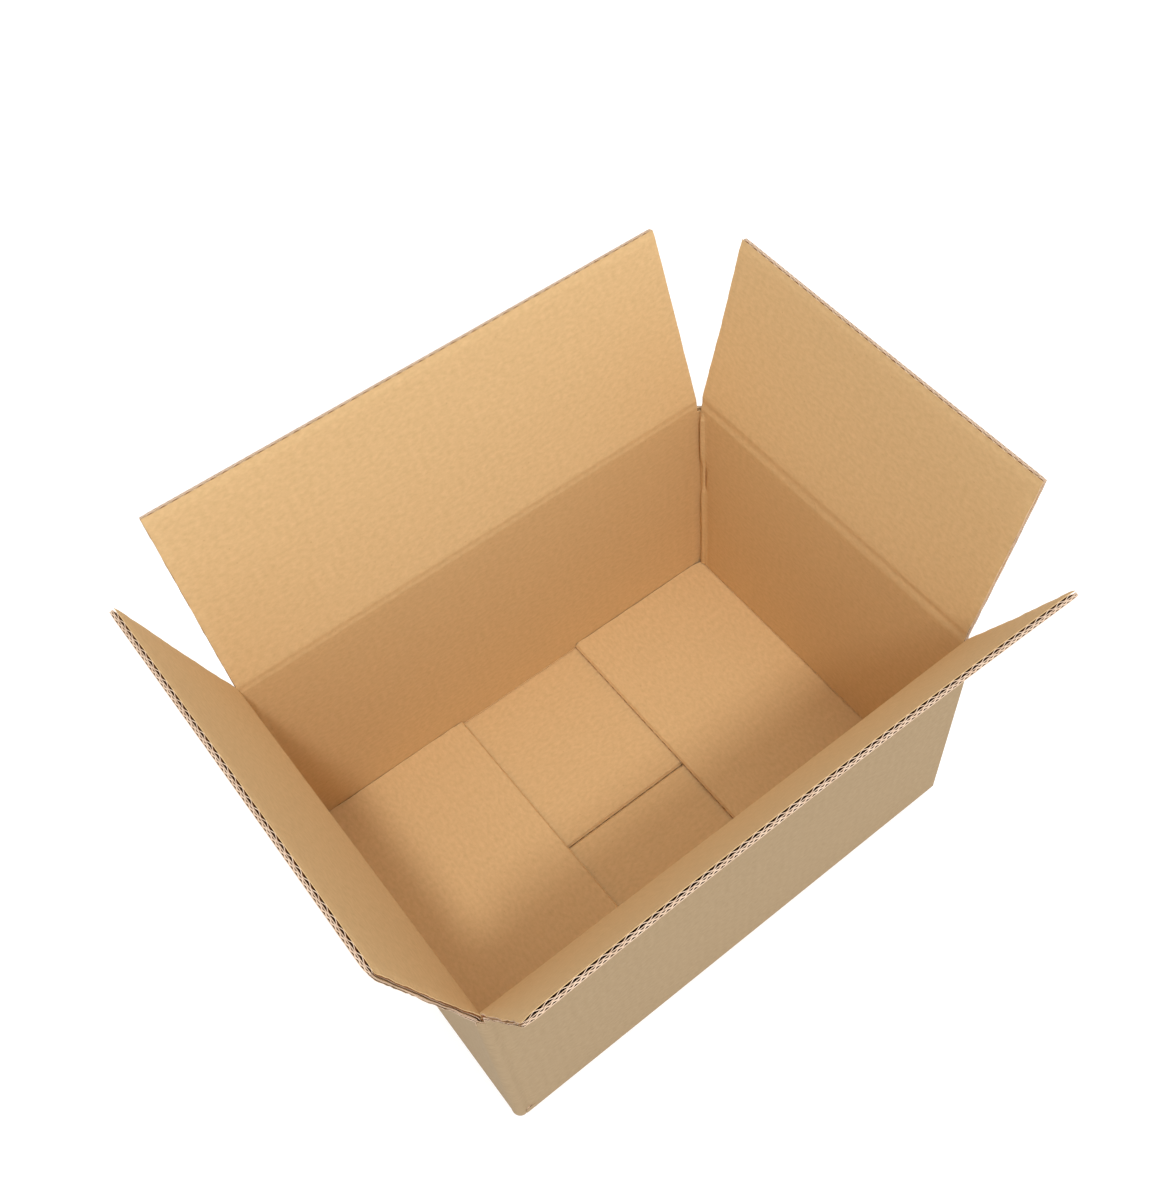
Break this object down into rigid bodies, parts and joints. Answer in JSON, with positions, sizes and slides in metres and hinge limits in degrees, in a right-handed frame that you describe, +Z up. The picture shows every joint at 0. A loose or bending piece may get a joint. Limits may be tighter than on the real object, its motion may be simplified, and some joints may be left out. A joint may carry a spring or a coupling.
{
  "type": "corrugated box",
  "caption": "Open shipping box of plain double-wall corrugated board, with a glued bottom and hinged top flaps that stand open.",
  "frame": {"origin": "middle of the underside, in the plane that the box stands on", "axes": "+X along the long walls, towards the right end wall; +Y across the box, towards the back wall; +Z up"},
  "size_m": [0.3703, 0.3054, 0.2746],
  "materials": {
    "kraft_board": "matt unprinted kraft liner"
  },
  "bodies": {
    "carton": {"carton": "kraft_board"},
    "back_flap": {"back_flap": "kraft_board"},
    "front_flap": {"front_flap": "kraft_board"},
    "left_flap": {"left_flap": "kraft_board"},
    "right_flap": {"right_flap": "kraft_board"}
  },
  "joints": [
    {"name": "back_crease", "type": "hinge", "parent": "carton", "child": "back_flap", "pos_m": [0, 0.112, 0.167], "axis": [1, 0, 0], "range_deg": [-146, 109]},
    {"name": "front_crease", "type": "hinge", "parent": "carton", "child": "front_flap", "pos_m": [0, -0.112, 0.167], "axis": [-1, 0, 0], "range_deg": [-140.5, 114.5]},
    {"name": "left_crease", "type": "hinge", "parent": "carton", "child": "left_flap", "pos_m": [-0.1565, 0, 0.1625], "axis": [0, 1, 0], "range_deg": [-150, 105]},
    {"name": "right_crease", "type": "hinge", "parent": "carton", "child": "right_flap", "pos_m": [0.1565, 0, 0.1625], "axis": [0, -1, 0], "range_deg": [-151, 104]}
  ]
}
